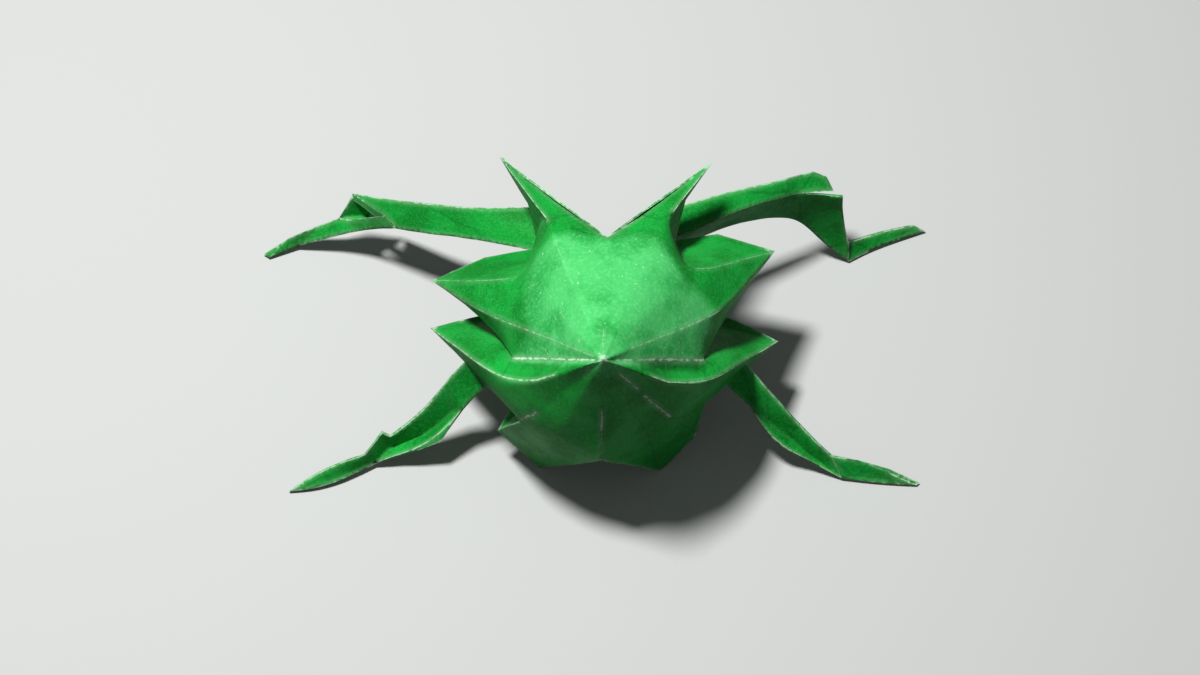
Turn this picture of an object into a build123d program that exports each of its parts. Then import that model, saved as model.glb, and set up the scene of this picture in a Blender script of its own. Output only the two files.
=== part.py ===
from build123d import *
import math
import os

# Origami frog folded from one square sheet of green paper, in millimetres.
# The middle of the square is the nose. Sixteen creases run out from it, and the
# body is blown up, so that the creases lean back from the nose. The four corners
# of the square are the feet.

# The sheet and its walls
sheet_side = 150.0
body_wall = 0.36
leg_wall = 0.5

# How the body sits: its axis runs from the nose down and back
body_pitch = 62.0
blow_hole_radius = 4.0
blow_hole_rise = 6.0
rear_depth = 49.0

# Proportions of the folded base, as shares of half the sheet's side
half_side = sheet_side / 2
notch_reach = half_side * math.tan(math.radians(22.5))
ridge_reach = half_side / math.sqrt(2) / math.cos(math.radians(22.5))

# The eight notch points: turn about the body's axis, and lean back from the nose's plane
notch_turns = {
    "top": (88, 45),
    "upper_left": (135, 49.5),
    "left": (180, 59),
    "lower_left": (218, 54),
    "bottom": (269, 54),
    "lower_right": (319.5, 58),
    "right": (359.5, 55),
    "upper_right": (45, 46.5),
}

# The eight ridges: share of the length up to the soft bend, turn and lean of the
# bend, then turn and lean of the tip. The right belly ridge bends at a dent
ridge_turns = {
    "horn_left": (0.65, 111.8, 43.4, 117, 43.2),
    "horn_right": (0.65, 66, 43.7, 61, 43.7),
    "fin_left": (0.64, 158.9, 52.8, 155.5, 52.4),
    "fin_right": (0.62, 21.7, 49.3, 32, 49),
    "jowl_left": (0.5, 191.7, 49, 170, 55.3),
    "jowl_right": (0.5, 346.7, 48, 5.6, 54.9),
    "belly_left": (0.5, 241, 55, 239.5, 65.5),
    "belly_right": (0.59, 301.7, 61, 297.5, 65.5),
}

# Corners round the back, in order from the top by the frog's left in the front view,
# and the ridge that opens between each corner and the next
rear_ring = [
    "back_notch",
    "shoulder_left",
    "flank_left",
    "hip_left",
    "arch",
    "hip_right",
    "flank_right",
    "shoulder_right",
]
rear_ridges = [
    "horn_left",
    "fin_left",
    "jowl_left",
    "belly_left",
    "belly_right",
    "jowl_right",
    "fin_right",
    "horn_right",
]

# Where the edge between a tip and a corner behind it is pinched in
pinches = {
    ("horn_left", "shoulder_left"): "nape_left",
    ("horn_right", "shoulder_right"): "nape_right",
    ("jowl_left", "hip_left"): "jaw_left",
    ("jowl_right", "hip_right"): "jaw_right",
}


def lean_point(reach, turn, lean):
    """A point of a crease, seen along the body's axis: right, up, back from the nose."""
    out = reach * math.cos(math.radians(lean))
    back = reach * math.sin(math.radians(lean))
    return Vector(out * math.cos(math.radians(turn)), out * math.sin(math.radians(turn)), back)


def share(right, up, back):
    """A point in the body's own directions, in hundredths of half the sheet's side."""
    return Vector(right, up, back) * (half_side / 100)


def tilt(point):
    """Turn a point from the body's directions to the standing frog's: right, back, up from the nose."""
    pitch = math.radians(body_pitch)
    back = point.Z * math.cos(pitch) + point.Y * math.sin(pitch)
    up = point.Y * math.cos(pitch) - point.Z * math.sin(pitch)
    return Vector(point.X, back, up)


def stand(point):
    """The same, up from the floor: the frog stands on the lower of its two belly corners."""
    depths = []
    for name in ("belly_left", "belly_right"):
        tip_turn, tip_lean = ridge_turns[name][3:]
        depths.append(-tilt(lean_point(ridge_reach, tip_turn, tip_lean)).Z)
    return tilt(point) + Vector(0, 0, max(depths))


def floor_share(right, back, up):
    """A point of a leg: right and back of the nose, up from the floor, in the same hundredths."""
    return Vector(right, back, up) * (half_side / 100)


def between(start, end, part):
    """The point that lies a given part of the way from start to end."""
    return start + (end - start) * part


def corner_offset(normals, wall):
    """The shift that keeps a corner half a wall away from every panel round it."""
    rows = [[0.0] * 4 for _ in range(3)]
    for n in normals:
        parts = (n.X, n.Y, n.Z)
        for i in range(3):
            for j in range(3):
                rows[i][j] += parts[i] * parts[j]
            rows[i][3] += parts[i] * wall / 2
    for i in range(3):
        rows[i][i] += 0.04
    for i in range(3):
        pivot = max(range(i, 3), key=lambda r: abs(rows[r][i]))
        rows[i], rows[pivot] = rows[pivot], rows[i]
        for r in range(3):
            if r != i:
                factor = rows[r][i] / rows[i][i]
                rows[r] = [a - factor * b for a, b in zip(rows[r], rows[i])]
    return Vector(*(rows[i][3] / rows[i][i] for i in range(3)))


def thick_sheet(points, panels, wall):
    """One folded sheet: flat triangles that share their corners, given a wall."""
    triangles = []
    for panel in panels:
        for i in range(1, len(panel) - 1):
            triangles.append((panel[0], panel[i], panel[i + 1]))
    around = {}
    borders = {}
    for a, b, c in triangles:
        normal = (points[b] - points[a]).cross(points[c] - points[a]).normalized()
        for name in (a, b, c):
            around.setdefault(name, []).append(normal)
        for start, end in ((a, b), (b, c), (c, a)):
            if (end, start) in borders:
                del borders[(end, start)]
            else:
                borders[(start, end)] = True
    shifts = {name: corner_offset(normals, wall) for name, normals in around.items()}
    front = {name: points[name] + shifts[name] for name in around}
    back = {name: points[name] - shifts[name] for name in around}
    faces = []
    for a, b, c in triangles:
        faces.append(Face(Wire.make_polygon([front[a], front[b], front[c]])))
        faces.append(Face(Wire.make_polygon([back[a], back[c], back[b]])))
    for start, end in borders:
        faces.append(Face(Wire.make_polygon([front[end], front[start], back[start]])))
        faces.append(Face(Wire.make_polygon([front[end], back[start], back[end]])))
    return Solid(Shell(faces))


def crown_points():
    """Corners of the blown-up body, in the body's own directions."""
    p = {"nose": Vector(0, 0, 0)}
    for name, (turn, lean) in notch_turns.items():
        p[name] = lean_point(notch_reach, turn, lean)
    for name, (bend, turn, lean, tip_turn, tip_lean) in ridge_turns.items():
        p[name + "_bend"] = lean_point(ridge_reach * bend, turn, lean)
        p[name] = lean_point(ridge_reach, tip_turn, tip_lean)
    # Slack edges between a notch and a tip, pinched in or bowed down
    p["brow_left"] = share(-7.5, 34.5, 38)
    p["brow_right"] = share(9, 33.9, 38)
    p["neck_left"] = share(-15.5, 35.5, 41.5)
    p["neck_right"] = share(16, 34.5, 41.5)
    p["cheek_left"] = share(-28.5, 10, 49.5)
    p["cheek_right"] = share(30, 10.5, 48)
    p["wing_left"] = share(-29.5, 25, 61.5)
    p["wing_right"] = share(28.5, 30.8, 58)
    p["nape_left"] = share(-18.5, 38.5, 50)
    p["nape_right"] = share(20.5, 39.5, 50)
    p["jaw_left"] = share(-21, -13.5, 58)
    p["jaw_right"] = share(25, -11.2, 55)
    # Second layers that show behind the brow and behind the lower fins
    p["brow_lining_left"] = share(-7.3, 35.5, 38.6)
    p["brow_lining_right"] = share(9, 35.3, 38.6)
    p["jowl_lining_left"] = share(-33, 10.8, 62)
    p["jowl_lining_right"] = share(31, 11, 62.5)
    # Corners where the body's walls meet behind the ridges
    p["shoulder_left"] = share(-16, 27.5, 60)
    p["shoulder_right"] = share(18, 29.5, 59.5)
    p["flank_left"] = share(-15.5, 12.5, 60.5)
    p["flank_right"] = share(16, 12.5, 60)
    p["hip_left"] = share(-26, -18, 62)
    p["hip_right"] = share(23.5, -19.5, 62)
    p["arch"] = share(0, -7, 57)
    p["back_notch"] = share(1, 26.5, 56)
    # Gussets tucked in between the walls behind each ridge
    p["horn_left_tuck"] = share(-7.5, 26.5, 51.5)
    p["horn_right_tuck"] = share(8.5, 27.5, 51.5)
    p["fin_left_tuck"] = share(-13.5, 20, 53.5)
    p["fin_right_tuck"] = share(14.5, 21, 53)
    p["jowl_left_tuck"] = share(-17.5, -2.5, 55)
    p["jowl_right_tuck"] = share(16.5, -3, 55)
    p["belly_left_tuck"] = share(-11.5, -13.5, 54)
    p["belly_right_tuck"] = share(11, -14, 54)
    for i, name in enumerate(rear_ring):
        turn = math.radians(90 + 45 * i)
        rim = Vector(math.cos(turn), math.sin(turn), 0) * blow_hole_radius
        p[name + "_rim"] = rim + Vector(0, blow_hole_rise, rear_depth)
    return p


def front_panels():
    """The sixteen sectors round the nose and the walls that turn back from their edges."""
    return [
        ("top", "nose", "horn_left_bend", "brow_left"),
        ("horn_left_bend", "horn_left", "brow_left"),
        ("top", "brow_right", "horn_right_bend", "nose"),
        ("horn_right_bend", "brow_right", "horn_right"),
        ("upper_left", "neck_left", "horn_left_bend", "nose"),
        ("horn_left_bend", "neck_left", "horn_left"),
        ("upper_right", "nose", "horn_right_bend", "neck_right"),
        ("horn_right_bend", "horn_right", "neck_right"),
        ("nose", "fin_left_bend", "upper_left"),
        ("fin_left_bend", "fin_left", "upper_left"),
        ("nose", "upper_right", "fin_right_bend"),
        ("fin_right_bend", "upper_right", "fin_right"),
        ("left", "cheek_left", "fin_left_bend", "nose"),
        ("fin_left_bend", "cheek_left", "fin_left"),
        ("right", "nose", "fin_right_bend", "cheek_right"),
        ("fin_right_bend", "fin_right", "cheek_right"),
        ("nose", "jowl_left_bend", "left"),
        ("jowl_left_bend", "jowl_left", "left"),
        ("nose", "right", "jowl_right_bend"),
        ("jowl_right_bend", "right", "jowl_right"),
        ("nose", "lower_left", "jowl_left_bend"),
        ("jowl_left_bend", "lower_left", "jowl_left"),
        ("nose", "jowl_right_bend", "lower_right"),
        ("jowl_right_bend", "jowl_right", "lower_right"),
        ("belly_left_bend", "belly_left", "lower_left", "nose"),
        ("belly_left_bend", "nose", "bottom", "belly_left"),
        ("belly_right_bend", "nose", "lower_right", "belly_right"),
        ("belly_right_bend", "belly_right", "bottom", "nose"),
        ("upper_left", "shoulder_left", "neck_left"),
        ("neck_left", "shoulder_left", "nape_left", "horn_left"),
        ("upper_right", "neck_right", "shoulder_right"),
        ("neck_right", "horn_right", "nape_right", "shoulder_right"),
        ("upper_left", "fin_left", "wing_left", "shoulder_left"),
        ("upper_right", "shoulder_right", "wing_right", "fin_right"),
        ("left", "flank_left", "cheek_left"),
        ("cheek_left", "flank_left", "fin_left"),
        ("right", "cheek_right", "flank_right"),
        ("cheek_right", "fin_right", "flank_right"),
        ("left", "jowl_left", "flank_left"),
        ("right", "flank_right", "jowl_right"),
        ("lower_left", "hip_left", "jaw_left", "jowl_left"),
        ("lower_right", "jowl_right", "jaw_right", "hip_right"),
        ("lower_left", "belly_left", "hip_left"),
        ("lower_right", "hip_right", "belly_right"),
        ("bottom", "arch", "belly_left"),
        ("bottom", "belly_right", "arch"),
    ]


def standing(points):
    """All corners turned to the standing frog."""
    return {name: stand(point) for name, point in points.items()}


def lining_layers():
    """The second layers: behind the notch between the horns, and above each lower fin."""
    brow = [
        ("back_notch", "top", "brow_lining_left", "horn_left"),
        ("back_notch", "horn_right", "brow_lining_right", "top"),
    ]
    jowl_left = [("flank_left", "jowl_lining_left", "jowl_left")]
    jowl_right = [("flank_right", "jowl_right", "jowl_lining_right")]
    return [brow, jowl_left, jowl_right]


def rear_panels():
    """Gussets behind the ridges, and the back that closes on the blow hole."""
    panels = []
    for i, name in enumerate(rear_ring):
        after = rear_ring[(i + 1) % len(rear_ring)]
        ridge = rear_ridges[i]
        tuck = ridge + "_tuck"
        if (ridge, name) in pinches:
            panels.append((tuck, ridge, pinches[(ridge, name)], name))
        else:
            panels.append((tuck, ridge, name))
        if (ridge, after) in pinches:
            panels.append((tuck, after, pinches[(ridge, after)], ridge))
        else:
            panels.append((tuck, after, ridge))
        panels.append((tuck, name, name + "_rim"))
        panels.append((after, tuck, after + "_rim"))
        panels.append((tuck, name + "_rim", after + "_rim"))
    return panels


def left_hind_leg(body):
    """Thigh folded along its lower edge, open pocket at the knee, narrow foot."""
    p = {
        "root_inner_top": body["back_notch"],
        "root_inner_fold": between(body["horn_left_tuck"], body["shoulder_left_rim"], 0.5),
        "root_top": floor_share(-14.5, 63, 37.5),
        "root_fold": floor_share(-15.5, 52.5, 33.5),
        "thigh_top": floor_share(-31, 64, 34.5),
        "thigh_fold": floor_share(-28.5, 57.5, 30),
        "mid_top": floor_share(-46, 69, 28.5),
        "mid_fold": floor_share(-41, 61.5, 26),
        "knee_top": floor_share(-64.5, 77, 18.5),
        "knee_fold": floor_share(-54, 67.5, 19.5),
        "pocket": floor_share(-56, 69.5, 20.5),
        "root_under": floor_share(-14.5, 60.5, 24),
        "thigh_under": floor_share(-29, 64.5, 22),
        "mid_under": floor_share(-41.5, 69, 18.5),
        "knee_under": floor_share(-54.5, 75.5, 12.5),
        "shin_in": floor_share(-66, 74, 11.5),
        "heel": floor_share(-68.5, 75.5, 10),
        "shin_edge": floor_share(-61.5, 70.5, 12.5),
        "ankle_edge": floor_share(-70.5, 72, 6.5),
        "foot_top": floor_share(-74.5, 75, 6.5),
        "foot_edge": floor_share(-74.5, 71.5, 4.5),
        "toe_top": floor_share(-82, 73, 3.5),
        "toe_edge": floor_share(-79.5, 72, 1.5),
        "tip": floor_share(-88.5, 70, 0.5),
        "tip_edge": floor_share(-87, 69, 0.5),
    }
    strip = [
        ("root_top", "root_fold", "root_inner_fold", "root_inner_top"),
        ("thigh_top", "thigh_fold", "root_fold", "root_top"),
        ("mid_top", "mid_fold", "thigh_fold", "thigh_top"),
        ("knee_top", "pocket", "knee_fold", "mid_fold", "mid_top"),
        ("root_fold", "thigh_fold", "thigh_under", "root_under"),
        ("thigh_fold", "mid_fold", "mid_under", "thigh_under"),
        ("mid_fold", "knee_fold", "knee_under", "mid_under"),
        ("pocket", "shin_in", "shin_edge", "knee_fold"),
        ("shin_in", "heel", "ankle_edge", "shin_edge"),
        ("heel", "foot_top", "foot_edge", "ankle_edge"),
        ("foot_top", "toe_top", "toe_edge", "foot_edge"),
        ("toe_top", "tip", "tip_edge", "toe_edge"),
    ]
    pocket_wall = [
        ("knee_top", "heel", "knee_under"),
        ("heel", "shin_edge", "knee_under"),
    ]
    return [thick_sheet(p, strip, leg_wall), thick_sheet(p, pocket_wall, leg_wall)]


def right_hind_leg(body):
    """Thigh folded along its front edge, bent knee, shin down to the heel, foot out."""
    p = {
        "root_inner_top": body["back_notch"],
        "root_inner_fold": between(body["horn_right_tuck"], body["shoulder_right_rim"], 0.5),
        "root_top": floor_share(16.5, 63, 37.5),
        "root_fold": floor_share(17, 56, 34),
        "root_under": floor_share(17.5, 59, 22.5),
        "thigh_top": floor_share(36, 70, 34.5),
        "thigh_fold": floor_share(30.5, 63, 32.5),
        "thigh_under": floor_share(31.5, 66, 23.5),
        "mid_fold": floor_share(37.5, 67, 32),
        "knee_top": floor_share(53.5, 78, 29.5),
        "knee_fold": floor_share(49.5, 73, 27.5),
        "knee_under": floor_share(48.5, 72.5, 18.5),
        "knee_round": floor_share(57, 77.5, 27.5),
        "knee_edge": floor_share(59, 74.5, 25.5),
        "shin_ridge": floor_share(61.5, 74, 24),
        "shin_front": floor_share(61.5, 73.5, 20.5),
        "shin_right": floor_share(62, 73, 14.5),
        "ankle_right": floor_share(63.5, 70.5, 6.5),
        "heel": floor_share(64, 68, 0.5),
        "shin_left": floor_share(51, 73, 16.5),
        "calf_left": floor_share(54.5, 71, 10),
        "ankle_left": floor_share(58.5, 69.5, 4),
        "foot_root": floor_share(64.5, 71.5, 4.5),
        "foot_top": floor_share(74.5, 76, 3.5),
        "toe_top": floor_share(81.5, 78, 2),
        "tip": floor_share(84.5, 77, 0.5),
        "toe_edge": floor_share(76.5, 74, 0.5),
        "foot_edge": floor_share(69, 71.5, 0.5),
    }
    strip = [
        ("root_inner_top", "root_inner_fold", "root_fold", "root_top"),
        ("root_top", "root_fold", "thigh_fold", "thigh_top"),
        ("thigh_top", "thigh_fold", "mid_fold", "knee_fold", "knee_top"),
        ("knee_top", "knee_fold", "knee_edge", "knee_round"),
        ("root_fold", "root_under", "thigh_under", "thigh_fold"),
        ("thigh_fold", "thigh_under", "mid_fold"),
        ("mid_fold", "thigh_under", "knee_under", "knee_fold"),
        ("knee_fold", "shin_front", "shin_ridge"),
        ("knee_fold", "knee_under", "shin_left", "shin_front"),
        ("shin_front", "shin_left", "calf_left", "shin_right"),
        ("shin_right", "calf_left", "ankle_left", "ankle_right"),
        ("ankle_right", "ankle_left", "heel"),
        ("ankle_right", "heel", "foot_root"),
        ("foot_root", "heel", "foot_edge", "foot_top"),
        ("foot_top", "foot_edge", "toe_edge", "toe_top"),
        ("toe_top", "toe_edge", "tip"),
    ]
    return [thick_sheet(p, strip, leg_wall)]


def left_front_leg(body):
    """Thigh strip that opens to a trough at the knee, and a foot with a ridge."""
    p = {
        "root_inner_top": between(body["jowl_left_tuck"], body["jowl_left"], 0.2),
        "root_inner_edge": between(body["jowl_left_tuck"], body["hip_left"], 0.5),
        "root_top": floor_share(-33, 24, 29.5),
        "root_edge": floor_share(-29.5, 19.5, 22.5),
        "thigh_top": floor_share(-39, 21.5, 22),
        "thigh_edge": floor_share(-35, 16.5, 16.5),
        "knee_start": floor_share(-46.5, 16.5, 11.5),
        "valley_start": floor_share(-37.5, 17.5, 13.5),
        "knee_rim": floor_share(-50.5, 14, 10),
        "knee_dip": floor_share(-53.5, 13, 8.5),
        "knee_peak": floor_share(-55.5, 13.5, 10),
        "ankle_top": floor_share(-60, 9.5, 5.5),
        "ankle_fold": floor_share(-63.5, 6.5, 2),
        "valley_mid": floor_share(-46, 14, 4.5),
        "valley_low": floor_share(-54, 12.5, 3),
        "valley_end": floor_share(-57.5, 9, 1.5),
        "calf_edge": floor_share(-41, 11, 10.5),
        "shin_edge": floor_share(-47.5, 9.5, 6.5),
        "ankle_edge": floor_share(-55, 9, 3),
        "foot_top": floor_share(-65.5, 8, 5),
        "arch_top": floor_share(-70.5, 6, 3.5),
        "toe_top": floor_share(-77, 3, 2),
        "tip": floor_share(-79, 1.5, 0.5),
        "foot_fold": floor_share(-68.5, 4.5, 1.5),
        "toe_fold": floor_share(-75, 2.5, 1),
        "foot_heel": floor_share(-64.5, 4.5, 1.5),
        "foot_edge": floor_share(-71.5, 1.5, 0.5),
        "toe_edge": floor_share(-75.5, 0.5, 0.5),
    }
    strip = [
        ("root_inner_top", "root_top", "root_edge", "root_inner_edge"),
        ("root_top", "thigh_top", "thigh_edge", "root_edge"),
        ("thigh_top", "knee_start", "valley_start", "thigh_edge"),
        ("knee_start", "knee_rim", "valley_mid", "valley_start"),
        ("knee_rim", "knee_dip", "valley_low", "valley_mid"),
        ("knee_dip", "knee_peak", "valley_low"),
        ("knee_peak", "ankle_top", "valley_end", "valley_low"),
        ("ankle_top", "ankle_fold", "valley_end"),
        ("ankle_fold", "foot_heel", "valley_end"),
        ("valley_start", "valley_mid", "calf_edge"),
        ("thigh_edge", "valley_start", "calf_edge"),
        ("valley_mid", "valley_low", "shin_edge", "calf_edge"),
        ("valley_low", "valley_end", "ankle_edge", "shin_edge"),
        ("ankle_top", "foot_top", "foot_fold", "ankle_fold"),
        ("foot_top", "arch_top", "foot_fold"),
        ("arch_top", "toe_top", "toe_fold", "foot_fold"),
        ("toe_top", "tip", "toe_fold"),
        ("ankle_fold", "foot_fold", "foot_edge", "foot_heel"),
        ("foot_fold", "toe_fold", "toe_edge", "foot_edge"),
        ("toe_fold", "tip", "toe_edge"),
    ]
    return [thick_sheet(p, strip, leg_wall)]


def right_front_leg(body):
    """Thigh strip that opens to a trough at the knee, and a flat foot."""
    p = {
        "root_inner_top": between(body["jowl_right_tuck"], body["jowl_right"], 0.2),
        "root_inner_edge": between(body["jowl_right_tuck"], body["hip_right"], 0.5),
        "root_top": floor_share(34.5, 24, 29.5),
        "root_edge": floor_share(29.5, 20.5, 24),
        "thigh_top": floor_share(41.5, 19, 21.5),
        "thigh_edge": floor_share(37, 17, 16.5),
        "knee_start": floor_share(49.5, 15, 11.5),
        "valley_start": floor_share(41.5, 16.5, 12.5),
        "knee_rim": floor_share(51.5, 13, 10.5),
        "shin_rim": floor_share(54.5, 10.5, 8.5),
        "ankle_top": floor_share(57.5, 8.5, 6.5),
        "valley_mid": floor_share(47, 13.5, 5.5),
        "valley_low": floor_share(52, 10.5, 3),
        "valley_end": floor_share(56.5, 8.5, 2),
        "knee_edge": floor_share(39.5, 14.5, 13.5),
        "calf_edge": floor_share(42.5, 11, 10.5),
        "shin_edge": floor_share(44.5, 9.5, 8.5),
        "ankle_edge": floor_share(50, 9, 5.5),
        "heel": floor_share(60.5, 5, 0.5),
        "foot_top": floor_share(64, 8, 5.5),
        "arch_top": floor_share(72, 6, 3),
        "toe_top": floor_share(77, 4, 1.5),
        "tip": floor_share(79.5, 3.5, 0.5),
        "foot_heel": floor_share(61, 6, 1.5),
        "foot_fold": floor_share(65.5, 5.5, 1.5),
        "toe_fold": floor_share(73, 4.5, 1),
        "sole_edge": floor_share(71.5, 3.5, 0.5),
    }
    strip = [
        ("root_inner_top", "root_inner_edge", "root_edge", "root_top"),
        ("root_top", "root_edge", "thigh_edge", "thigh_top"),
        ("thigh_top", "thigh_edge", "valley_start", "knee_start"),
        ("knee_start", "valley_start", "valley_mid", "knee_rim"),
        ("knee_rim", "valley_mid", "valley_low", "shin_rim"),
        ("shin_rim", "valley_low", "valley_end", "ankle_top"),
        ("valley_start", "thigh_edge", "knee_edge"),
        ("valley_start", "knee_edge", "calf_edge", "valley_mid"),
        ("valley_mid", "calf_edge", "shin_edge"),
        ("valley_mid", "shin_edge", "ankle_edge", "valley_low"),
        ("valley_low", "ankle_edge", "valley_end"),
        ("valley_end", "ankle_edge", "heel"),
        ("ankle_top", "foot_heel", "foot_fold", "foot_top"),
        ("foot_top", "foot_fold", "toe_fold", "arch_top"),
        ("arch_top", "toe_fold", "tip", "toe_top"),
        ("ankle_top", "valley_end", "heel", "foot_heel"),
        ("foot_heel", "heel", "sole_edge", "foot_fold"),
        ("foot_fold", "sole_edge", "toe_fold"),
        ("toe_fold", "sole_edge", "tip"),
    ]
    return [thick_sheet(p, strip, leg_wall)]


def folded_sheet():
    """The whole frog, one piece of paper, standing with its bottom centre at the origin."""
    corners = standing(crown_points())
    frog = thick_sheet(corners, front_panels(), body_wall)
    pieces = [thick_sheet(corners, rear_panels(), body_wall)]
    for layer in lining_layers():
        pieces.append(thick_sheet(corners, layer, body_wall))
    for leg in (left_hind_leg, right_hind_leg, left_front_leg, right_front_leg):
        pieces += leg(corners)
    frog = frog.fuse(*pieces)
    box = frog.bounding_box()
    return Pos(-box.center().X, -box.center().Y, -box.min.Z) * frog


def main():
    frog = folded_sheet()
    print("folded_sheet valid:", frog.is_valid, "solids:", len(frog.solids()))
    os.makedirs("parts", exist_ok=True)
    export_step(frog, "parts/folded_sheet.step")


main()
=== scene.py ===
import math

import bmesh
import bpy
import numpy as np
from mathutils import Matrix, Vector
from mathutils.kdtree import KDTree
from mathutils.noise import noise


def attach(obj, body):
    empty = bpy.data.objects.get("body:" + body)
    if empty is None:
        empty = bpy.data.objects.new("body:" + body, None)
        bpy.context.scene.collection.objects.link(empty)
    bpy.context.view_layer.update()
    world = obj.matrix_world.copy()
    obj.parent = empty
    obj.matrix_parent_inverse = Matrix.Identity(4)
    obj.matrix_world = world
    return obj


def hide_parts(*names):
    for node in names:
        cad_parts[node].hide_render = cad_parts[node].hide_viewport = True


# Origami frog folded from one sheet of worn green paper. Lengths are in metres.
MM = 0.001

# The photograph's camera looks along the body's axis at the nose
BODY_PITCH = math.radians(62)
NOSE_TO_CAMERA = Vector((-0.52, -278.2, 531.6)) * MM
SENSOR_WIDTH = 36.0
FOCAL_PIXELS = 3440
PHOTO_WIDTH = 1200
CLIP_START, CLIP_END = 0.01, 20

# The paper's mesh: each stage divides it until no edge is longer than the length, then
# smooths it that many times. Round the nose it is finer
STAGES = [(4.0 * MM, 5), (2.0 * MM, 6), (1.05 * MM, 7)]
NOSE_STAGE, NOSE_REGION = 0.6 * MM, 9 * MM
SPLIT_ROUNDS = 12
WELD_GAP = 0.002 * MM
SMOOTH_TURN = math.radians(32)

# How far a smoothing moves a point of the surface or of a crisp fold. Close to the nose
# nothing moves, and from there on it moves more and more
SURFACE_SHARE, FOLD_SHARE = 0.5, 0.4
HELD_NEAR_NOSE = (1.5 * MM, 6.5 * MM)

# Folds: the turn from which an edge is one, and from which it stays crisp. Crisp ridges
# are worn from the first of these wears up to the last, by how sharp they are
FOLD_TURN = math.radians(4)
CRISP_TURN = math.radians(33)
LEAST_WEAR, MOST_WEAR = 0.12, 0.55
FULL_WEAR_TURN = math.radians(150)
FOLD_REACH = 4.0 * MM
SAMPLE_STEP = 0.12 * MM
TIP_ANGLE = math.radians(232)

# The sixteen creases from the nose. Each has its turn about the body's axis, its relief
# close to the nose (above 0 for a mountain), how far out the front's painted highlight reaches,
# and the stretches that are worn white as (start, stop, wear), all distances in millimetres
NOSE_CREASES = [
    (0, -0.06, 17.0, [(4, 14, 0.5), (14, 33, 1.0)]),
    (22, 0.10, 22.0, [(9, 22, 0.3), (24, 60, 0.5)]),
    (45, -0.06, 20.5, []),
    (66, 0.05, 24.0, []),
    (88, -0.06, 22.0, [(2, 8, 0.2)]),
    (112, -0.10, 24.0, [(20, 31, 0.08)]),
    (135, 0.12, 19.5, [(12, 18, 0.12)]),
    (159, 0.02, 14.0, [(3, 22, 0.28), (22, 60, 0.42)]),
    (180, -0.08, 15.5, [(3, 25, 0.7), (25, 33, 1.0)]),
    (192, 0.10, 4.0, [(14, 60, 0.55)]),
    (218, -0.10, 2.5, [(5, 8, 0.25), (26, 33, 0.8)]),
    (240, 0.06, 2.5, []),
    (269, -0.10, 2.5, [(17, 23, 0.7), (23.5, 31, 0.4)]),
    (297, -0.10, 2.5, []),
    (319, 0.12, 3.0, [(7, 16, 0.8), (18.5, 30.5, 0.95)]),
    (347, 0.08, 4.0, [(14, 60, 0.55)]),
]
NOSE_RADIUS = 0.8 * MM
STAR_REACH = 6.5
# The soft border of the front's painted highlight, in mm
HIGHLIGHT_BORDER = 1.8

# The creases, by row from 1, that run straight and crisp to their ends
STRAIGHT_ROWS = (1, 2, 8, 9, 10, 15, 16)

# Forms of the front: turns and the amount at each, then ways out in mm and the amount at
# each, to be multiplied. The last moves the paper down, the others in or out, in mm
FORM_REACH = 30
CHEEKS = ([0, 22, 45, 135, 159, 180, 192, 347, 360], [1, -1.3, 0, 0, -1.1, 1, 0, 0, 1],
          [2, 8, 20, 27], [0, 1, 1, 0])
MOUTH = ([180, 186, 192, 347, 353.5, 360], [0, 1, 0, 0, 1, 0], [5, 10, 17, 21], [0, 2.2, 2.2, 0])
BELLY = ([240, 269, 297], [0, 1, 0], [2, 8, 17, 24], [0, 1.5, 1.5, 0])
JOWLS = ([180, 192, 220, 320, 347, 360], [0, 1, 0, 0, 1, 0],
         [0, 5, 12, 18, 23], [0, 0.5, 1.5, 0.6, 0])

# Waves of the sheet: length and height. Feet stay down, and the nose moves least
SLOW_WAVE = (13 * MM, 0.28 * MM)
QUICK_WAVE = (4.5 * MM, 0.09 * MM)
QUICK_SHIFT = Vector((7, 3, 5))
AXIS_SHIFTS = [Vector((11, 0, 0)), Vector((0, 23, 0)), Vector((0, 0, 37))]
FEET_HEIGHT = 6 * MM
NOSE_WAVE_SHARE = 0.25

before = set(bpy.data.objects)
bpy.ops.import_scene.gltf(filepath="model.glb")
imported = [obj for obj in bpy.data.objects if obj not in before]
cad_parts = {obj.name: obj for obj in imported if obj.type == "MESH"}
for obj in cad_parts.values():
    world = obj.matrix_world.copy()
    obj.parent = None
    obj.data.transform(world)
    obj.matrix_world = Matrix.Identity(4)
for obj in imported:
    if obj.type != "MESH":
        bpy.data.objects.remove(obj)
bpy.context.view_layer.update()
nose = max(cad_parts["folded_sheet"].data.vertices, key=lambda v: v.co.z).co.copy()

# The body's own directions: right, up and out towards the camera
VIEW_RIGHT = Vector((1, 0, 0))
VIEW_UP = Vector((0, math.sin(BODY_PITCH), math.cos(BODY_PITCH)))
VIEW_OUT = Vector((0, -math.cos(BODY_PITCH), math.sin(BODY_PITCH)))


def srgb(red, green, blue):
    """A colour written as 0 to 255, in linear light."""
    values = []
    for c in (red, green, blue):
        c = c / 255
        values.append(c / 12.92 if c <= 0.04045 else ((c + 0.055) / 1.055) ** 2.4)
    return (*values, 1.0)


def paper_mesh():
    """The folded sheet's own form, as one welded mesh of plain triangles."""
    bm = bmesh.new()
    bm.from_mesh(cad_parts["folded_sheet"].data)
    bmesh.ops.remove_doubles(bm, verts=bm.verts, dist=WELD_GAP)
    bmesh.ops.dissolve_degenerate(bm, edges=bm.edges, dist=WELD_GAP)
    bmesh.ops.triangulate(bm, faces=bm.faces)
    bm.normal_update()
    return bm


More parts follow.
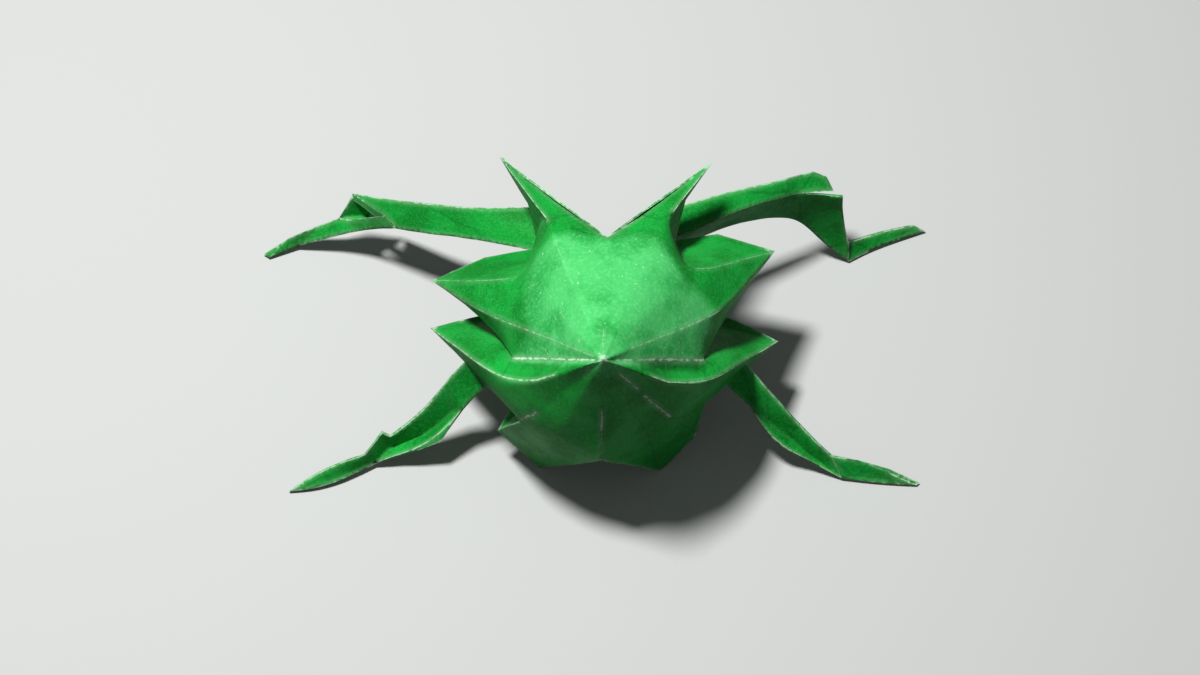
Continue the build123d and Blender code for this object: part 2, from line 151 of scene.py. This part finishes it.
def nose_crease(edge):
    """Which row of NOSE_CREASES an edge lies on, from 1, or 0 if it doesn't start at the nose."""
    ends = sorted((v.co - nose for v in edge.verts), key=lambda d: d.length)
    if ends[0].length > NOSE_RADIUS:
        return 0
    run = ends[1] - ends[0]
    turn = math.degrees(math.atan2(run.dot(VIEW_UP), run.dot(VIEW_RIGHT)))
    gaps = [abs((row[0] - turn + 180) % 360 - 180) for row in NOSE_CREASES]
    return gaps.index(min(gaps)) + 1


def mark_folds(bm):
    """Note on each edge how it turns and how worn it is: edges keep both when they are divided."""
    crisp = bm.edges.layers.int.new("crisp")
    valley = bm.edges.layers.int.new("valley")
    crease = bm.edges.layers.int.new("crease")
    worn = bm.edges.layers.float.new("worn")
    for edge in bm.edges:
        turn = edge.calc_face_angle_signed(math.pi)
        edge[crease] = nose_crease(edge)
        edge[crisp] = abs(turn) > CRISP_TURN or edge[crease] in STRAIGHT_ROWS
        edge[valley] = turn < -FOLD_TURN
        if turn > CRISP_TURN:
            edge[worn] = min(MOST_WEAR, LEAST_WEAR + (turn - CRISP_TURN) / FULL_WEAR_TURN)


def split_long_edges(bm, longest, reach=1.0):
    """Halve the longest edge of each facet within reach of the nose, until none is too long."""
    for _ in range(SPLIT_ROUNDS):
        near = [f for f in bm.faces if (f.verts[0].co - nose).length < reach]
        sides = dict.fromkeys(max(f.edges, key=lambda e: e.calc_length()) for f in near)
        long_edges = [e for e in sides if e.calc_length() > longest]
        if not long_edges:
            break
        bmesh.ops.subdivide_edges(bm, edges=long_edges, cuts=1)
        wide = [f for f in bm.faces if len(f.verts) > 3]
        bmesh.ops.triangulate(bm, faces=wide, quad_method="SHORT_EDGE")


def soften(bm, passes):
    """Round the soft folds and the bends of the crisp ones, as thin paper does."""
    bm.verts.ensure_lookup_table()
    bm.verts.index_update()
    crisp = bm.edges.layers.int["crisp"]
    count = len(bm.verts)
    points = np.array([v.co for v in bm.verts])
    tail, head, share = [], [], np.zeros(count)
    for v in bm.verts:
        lines = [e for e in v.link_edges if e[crisp]]
        if not lines:
            along, share[v.index] = v.link_edges, SURFACE_SHARE
        elif len(lines) == 2:
            along, share[v.index] = lines, FOLD_SHARE
        else:
            continue
        for e in along:
            tail.append(v.index)
            head.append(e.other_vert(v).index)
    share *= np.interp(np.linalg.norm(points - np.array(nose), axis=1), HELD_NEAR_NOSE, (0, 1))
    degree = np.maximum(np.bincount(tail, minlength=count), 1)[:, None]
    for _ in range(passes):
        mean = np.zeros_like(points)
        for axis in range(3):
            mean[:, axis] = np.bincount(tail, weights=points[head, axis], minlength=count)
        points += share[:, None] * (mean / degree - points)
    for v in bm.verts:
        v.co = points[v.index]


def round_the_axis(point):
    """Where a point is, seen from the front: its turn in degrees, how far out and how deep in mm."""
    run = (point - nose) / MM
    right, up = run.dot(VIEW_RIGHT), run.dot(VIEW_UP)
    return math.degrees(math.atan2(up, right)) % 360, math.hypot(right, up), -run.dot(VIEW_OUT)


def by_turn(turn, column):
    """A column of NOSE_CREASES, between the creases too."""
    turns = [row[0] for row in NOSE_CREASES]
    return np.interp(turn, turns, [row[column] for row in NOSE_CREASES], period=360)


def form(table, turn, out):
    """How much one of the front's forms gives at this place."""
    turns, amounts, ways, shares = table
    return np.interp(turn, turns, amounts) * np.interp(out, ways, shares)


def sculpt(bm):
    """The star round the nose, the flat cheeks and belly, and the jowls' curved ridges."""
    for v in bm.verts:
        turn, out, _ = round_the_axis(v.co)
        if out > FORM_REACH or out < 0.01:
            continue
        star = by_turn(turn, 1) * out * math.exp(-((out / STAR_REACH) ** 2))
        rise = star + form(CHEEKS, turn, out) - form(MOUTH, turn, out) - form(BELLY, turn, out)
        v.co += VIEW_OUT * rise * MM - VIEW_UP * form(JOWLS, turn, out) * MM


def wave(place):
    """A smooth random step, the same in each run."""
    return Vector([noise(place + shift) for shift in AXIS_SHIFTS])


def crumple(bm):
    """Let the sheet wave a little. Both faces of the wall move together."""
    for v in bm.verts:
        lift = min(1.0, v.co.z / FEET_HEIGHT)
        slow = wave(v.co / SLOW_WAVE[0]) * SLOW_WAVE[1]
        quick = wave(v.co / QUICK_WAVE[0] + QUICK_SHIFT) * QUICK_WAVE[1]
        away = np.interp((v.co - nose).length, (3 * MM, 23 * MM), (NOSE_WAVE_SHARE, 1))
        v.co += (slow + quick) * lift * away


def fold_samples(bm, wanted):
    """Points spaced closely along the chosen folds, each with its wear."""
    rows = []
    for edge in bm.edges:
        wear = wanted(edge)
        if wear <= 0:
            continue
        a, b = edge.verts[0].co, edge.verts[1].co
        steps = max(1, int((b - a).length / SAMPLE_STEP))
        for i in range(steps + 1):
            rows.append((a.lerp(b, i / steps), wear))
    return rows


def nearest(points, rows):
    """For each point: the distance to the nearest sample and that sample's wear."""
    tree = KDTree(len(rows))
    for i, (place, _) in enumerate(rows):
        tree.insert(place, i)
    tree.balance()
    gaps, wears = np.empty(len(points)), np.empty(len(points))
    for i, point in enumerate(points):
        _, number, gap = tree.find(point)
        gaps[i], wears[i] = gap, rows[number][1]
    return gaps, wears


def tips(bm):
    """The sheet's points: corners where the faces round them add up to little."""
    found = []
    for v in bm.verts:
        around = sum(loop.calc_angle() for loop in v.link_loops)
        if around < TIP_ANGLE:
            found.append((v.co.copy(), 1.0))
    return found


def store(mesh, name, values):
    """Keep one number for each vertex."""
    layer = mesh.attributes.new(name, "FLOAT", "POINT")
    layer.data.foreach_set("value", np.asarray(values, np.float32))


def store_gap(mesh, name, gaps):
    """Keep a distance in mm for each vertex, as far as it matters."""
    store(mesh, name, np.minimum(gaps, FOLD_REACH) / MM)


def crease_wear(row, point):
    """How worn a crease from the nose is at this point of it."""
    reach = (point - nose).length / MM
    for start, stop, wear in row[3]:
        if start <= reach <= stop:
            return wear
    return 0


def painted_highlight(point, normal):
    """How strongly a highlight is painted on the front panel here, with a soft border."""
    turn, out, depth = round_the_axis(point)
    inside_body = depth > 1.75 * out + 1.5
    if normal.dot(VIEW_OUT) < 0.1 or inside_body:
        return 0
    return float(np.clip((by_turn(turn, 2) - out) / HIGHLIGHT_BORDER + 0.5, 0, 1))


def make_paper():
    bm = paper_mesh()
    mark_folds(bm)
    points_of_sheet = tips(bm)
    for longest, passes in STAGES:
        split_long_edges(bm, longest)
        soften(bm, passes)
    split_long_edges(bm, NOSE_STAGE, NOSE_REGION)
    sculpt(bm)
    crumple(bm)
    bm.normal_update()
    worn, crease = bm.edges.layers.float["worn"], bm.edges.layers.int["crease"]
    valley = bm.edges.layers.int["valley"]

    def wear_of(edge):
        if edge[crease]:
            middle = (edge.verts[0].co + edge.verts[1].co) / 2
            return crease_wear(NOSE_CREASES[edge[crease] - 1], middle)
        return edge[worn]

    ridges = fold_samples(bm, wear_of)
    valleys = fold_samples(bm, lambda edge: edge[valley])
    vertices = [v.co.copy() for v in bm.verts]
    # How much highlight is painted on the front at each point
    highlight_share = [painted_highlight(v.co, v.normal) for v in bm.verts]
    mesh = bpy.data.meshes.new("folded_paper")
    bm.to_mesh(mesh)
    bm.free()
    gaps, wears = nearest(vertices, ridges)
    store_gap(mesh, "ridge_gap", gaps)
    store(mesh, "ridge_wear", wears)
    store_gap(mesh, "valley_gap", nearest(vertices, valleys)[0])
    store_gap(mesh, "tip_gap", nearest(vertices, points_of_sheet)[0])
    store_gap(mesh, "nose_gap", [(v - nose).length for v in vertices])
    store(mesh, "painted_highlight", highlight_share)
    for polygon in mesh.polygons:
        polygon.use_smooth = True
    mesh.set_sharp_from_angle(angle=SMOOTH_TURN)
    paper = bpy.data.objects.new("folded_paper", mesh)
    bpy.context.scene.collection.objects.link(paper)
    mesh.materials.append(paper_material())
    return paper


class Graph:
    """A short way to write a material's nodes."""

    def __init__(self, name):
        self.material = bpy.data.materials.new(name)
        self.material.use_nodes = True
        self.nodes = self.material.node_tree.nodes
        self.links = self.material.node_tree.links
        self.shader = self.nodes["Principled BSDF"]

    def feed(self, value, socket):
        if isinstance(value, bpy.types.NodeSocket):
            self.links.new(value, socket)
        else:
            socket.default_value = value

    def attribute(self, name):
        node = self.nodes.new("ShaderNodeAttribute")
        node.attribute_name = name
        return node.outputs["Fac"]

    def math(self, operation, a, b=0.0, clamp=False):
        node = self.nodes.new("ShaderNodeMath")
        node.operation = operation
        node.use_clamp = clamp
        self.feed(a, node.inputs[0])
        self.feed(b, node.inputs[1])
        return node.outputs[0]

    def ramp(self, value, low, high, to_low=0.0, to_high=1.0):
        """Carry a value from one range smoothly to another."""
        node = self.nodes.new("ShaderNodeMapRange")
        node.interpolation_type = "SMOOTHSTEP"
        for socket, number in zip(node.inputs[:5], (value, low, high, to_low, to_high)):
            self.feed(number, socket)
        return node.outputs[0]

    def noise(self, size, detail, roughness=0.5, distortion=0.0):
        """Noise whose features are about this size."""
        node = self.nodes.new("ShaderNodeTexNoise")
        self.links.new(self.place(), node.inputs["Vector"])
        node.inputs["Scale"].default_value = 1 / size
        node.inputs["Detail"].default_value = detail
        node.inputs["Roughness"].default_value = roughness
        node.inputs["Distortion"].default_value = distortion
        return node.outputs["Fac"]

    def place(self):
        if not hasattr(self, "coordinates"):
            self.coordinates = self.nodes.new("ShaderNodeTexCoord").outputs["Object"]
        return self.coordinates

    def mix(self, factor, a, b):
        node = self.nodes.new("ShaderNodeMix")
        node.data_type = "RGBA"
        self.feed(factor, node.inputs["Factor"])
        self.feed(a, node.inputs[6])
        self.feed(b, node.inputs[7])
        return node.outputs[2]

    def bump(self, height, distance, strength):
        node = self.nodes.new("ShaderNodeBump")
        node.inputs["Distance"].default_value = distance
        node.inputs["Strength"].default_value = strength
        self.links.new(height, node.inputs["Height"])
        return node.outputs["Normal"]


def paper_material():
    """Green paper: clouds and fibres in the colour, a highlight painted on the front, painted shade
    along the valleys, white worn ridges and points.
    """
    g = Graph("green_paper")
    clouds = g.noise(9 * MM, 3)
    mottle = g.noise(0.7 * MM, 2)
    fibres = g.noise(0.3 * MM, 1)
    tone = g.math("ADD", g.math("MULTIPLY", clouds, 0.7), g.math("MULTIPLY", mottle, 0.3))
    colour = g.mix(g.ramp(tone, 0.38, 0.62), srgb(3, 128, 36), srgb(14, 160, 56))

    # Painted highlight: the front panel, which faces the light, is made paler and mottled
    highlight_colour = g.mix(g.ramp(clouds, 0.38, 0.6), srgb(42, 168, 76), srgb(74, 196, 104))
    highlight_colour = g.mix(g.ramp(mottle, 0.42, 0.74, 0.0, 0.34), highlight_colour, srgb(120, 222, 142))
    highlight_share = g.math("MULTIPLY", g.attribute("painted_highlight"), g.ramp(clouds, 0.3, 0.5, 0.75, 1.0))
    colour = g.mix(highlight_share, colour, highlight_colour)

    # Fibres, painted shade along the valleys, and specks that are stronger on the painted highlight
    colour = g.mix(g.ramp(fibres, 0.5, 0.75, 0.0, 0.16), colour, srgb(120, 226, 140))
    # Painted shade: dark green along the valley folds
    valley_shade = g.ramp(g.attribute("valley_gap"), 0.0, 0.5, 0.3, 0.0)
    colour = g.mix(valley_shade, colour, srgb(4, 76, 24))
    specks_and_highlight = g.ramp(g.noise(0.6 * MM, 0), 0.8, 0.85, 0.0, 0.6)
    # Specks of the paper, made stronger where the front's highlight is painted
    specks_and_highlight = g.math("MULTIPLY", specks_and_highlight, g.ramp(g.attribute("painted_highlight"), 0.0, 1.0, 0.12, 1.0))
    colour = g.mix(specks_and_highlight, colour, srgb(190, 244, 200))

    # White wear: thin broken lines with a haze beside them, the sheet's points and the nose
    rubbing = g.noise(1.3 * MM, 3, 0.7)
    wear = g.attribute("ridge_wear")
    width = g.math("MULTIPLY", g.ramp(wear, 0.0, 1.0, 0.12, 0.38), g.ramp(rubbing, 0.38, 0.58))
    width = g.math("MAXIMUM", width, 0.001)
    share = g.math("DIVIDE", g.attribute("ridge_gap"), width)
    edge = g.math("SUBTRACT", 1.0, share, clamp=True)
    line = g.math("MULTIPLY", g.ramp(edge, 0.0, 0.6), g.ramp(wear, 0.0, 1.0, 0.2, 0.95))
    haze = g.math("MULTIPLY", g.ramp(g.attribute("ridge_gap"), 1.2, 0.0, 0.0, 0.22), wear)
    point = g.ramp(g.attribute("tip_gap"), 1.1, 0.2, 0.0, 0.7)
    point = g.math("MULTIPLY", point, g.ramp(rubbing, 0.3, 0.55))
    middle = g.ramp(g.attribute("nose_gap"), 2.2, 0.3, 0.0, 0.85)
    middle = g.math("MULTIPLY", middle, g.ramp(rubbing, 0.34, 0.56))
    rubbed = g.math("MAXIMUM", g.math("MAXIMUM", line, haze), g.math("MAXIMUM", point, middle))
    colour = g.mix(rubbed, colour, srgb(206, 240, 208))
    g.feed(colour, g.shader.inputs["Base Color"])

    # A dull, finely wrinkled surface
    g.feed(g.ramp(tone, 0.3, 0.7, 0.66, 0.5), g.shader.inputs["Roughness"])
    g.shader.inputs["Specular IOR Level"].default_value = 0.14
    wrinkles = g.noise(3.6 * MM, 3, 0.5, 0.4)
    relief = g.math("ADD", g.math("MULTIPLY", wrinkles, 4.0), mottle)
    relief = g.math("ADD", relief, g.math("MULTIPLY", fibres, 0.35))
    g.feed(g.bump(relief, 0.09 * MM, 0.45), g.shader.inputs["Normal"])
    return g.material


def floor_material():
    """Pale where the camera sees it, and a darker bounce on the paper, as over a dark table."""
    g = Graph("floor")
    light_path = g.nodes.new("ShaderNodeLightPath")
    seen = light_path.outputs["Is Camera Ray"]
    seen = g.math("MAXIMUM", seen, light_path.outputs["Is Glossy Ray"])
    seen = g.math("MAXIMUM", seen, light_path.outputs["Is Transmission Ray"])
    colour = g.mix(seen, srgb(70, 74, 71), srgb(196, 198, 196))
    g.feed(colour, g.shader.inputs["Base Color"])
    g.shader.inputs["Roughness"].default_value = 0.95
    g.shader.inputs["Specular IOR Level"].default_value = 0.1
    return g.material


def make_floor():
    side = 4.0
    corners = [(-side, -side, 0), (side, -side, 0), (side, side, 0), (-side, side, 0)]
    mesh = bpy.data.meshes.new("floor")
    mesh.from_pydata(corners, [], [(0, 1, 2, 3)])
    floor = bpy.data.objects.new("floor", mesh)
    bpy.context.scene.collection.objects.link(floor)
    mesh.materials.append(floor_material())


def make_camera():
    data = bpy.data.cameras.new("camera")
    data.sensor_width = SENSOR_WIDTH
    data.lens = SENSOR_WIDTH * FOCAL_PIXELS / PHOTO_WIDTH
    data.clip_start = CLIP_START
    data.clip_end = CLIP_END
    camera = bpy.data.objects.new("camera", data)
    bpy.context.scene.collection.objects.link(camera)
    turn = Matrix((VIEW_RIGHT, VIEW_UP, VIEW_OUT)).transposed().to_4x4()
    camera.matrix_world = Matrix.Translation(nose + NOSE_TO_CAMERA) @ turn
    bpy.context.scene.camera = camera


def make_light(name, place, size, watts, aim):
    data = bpy.data.lights.new(name, "AREA")
    data.shape = "DISK"
    data.size = size
    data.energy = watts
    light = bpy.data.objects.new(name, data)
    light.location = place
    light.rotation_mode = "QUATERNION"
    light.rotation_quaternion = (Vector(aim) - Vector(place)).to_track_quat("-Z", "Y")
    bpy.context.scene.collection.objects.link(light)


def make_world():
    world = bpy.data.worlds.new("studio")
    bpy.context.scene.world = world
    world.use_nodes = True
    background = world.node_tree.nodes["Background"]
    background.inputs["Color"].default_value = srgb(235, 240, 238)
    background.inputs["Strength"].default_value = 0.12


paper = make_paper()
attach(paper, "root")
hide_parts("folded_sheet")

make_floor()
make_camera()
make_world()
make_light("key", (-0.15, 0.06, 0.6), 0.09, 4.8, (0, 0, 0.03))

bpy.context.scene.view_settings.view_transform = "Standard"
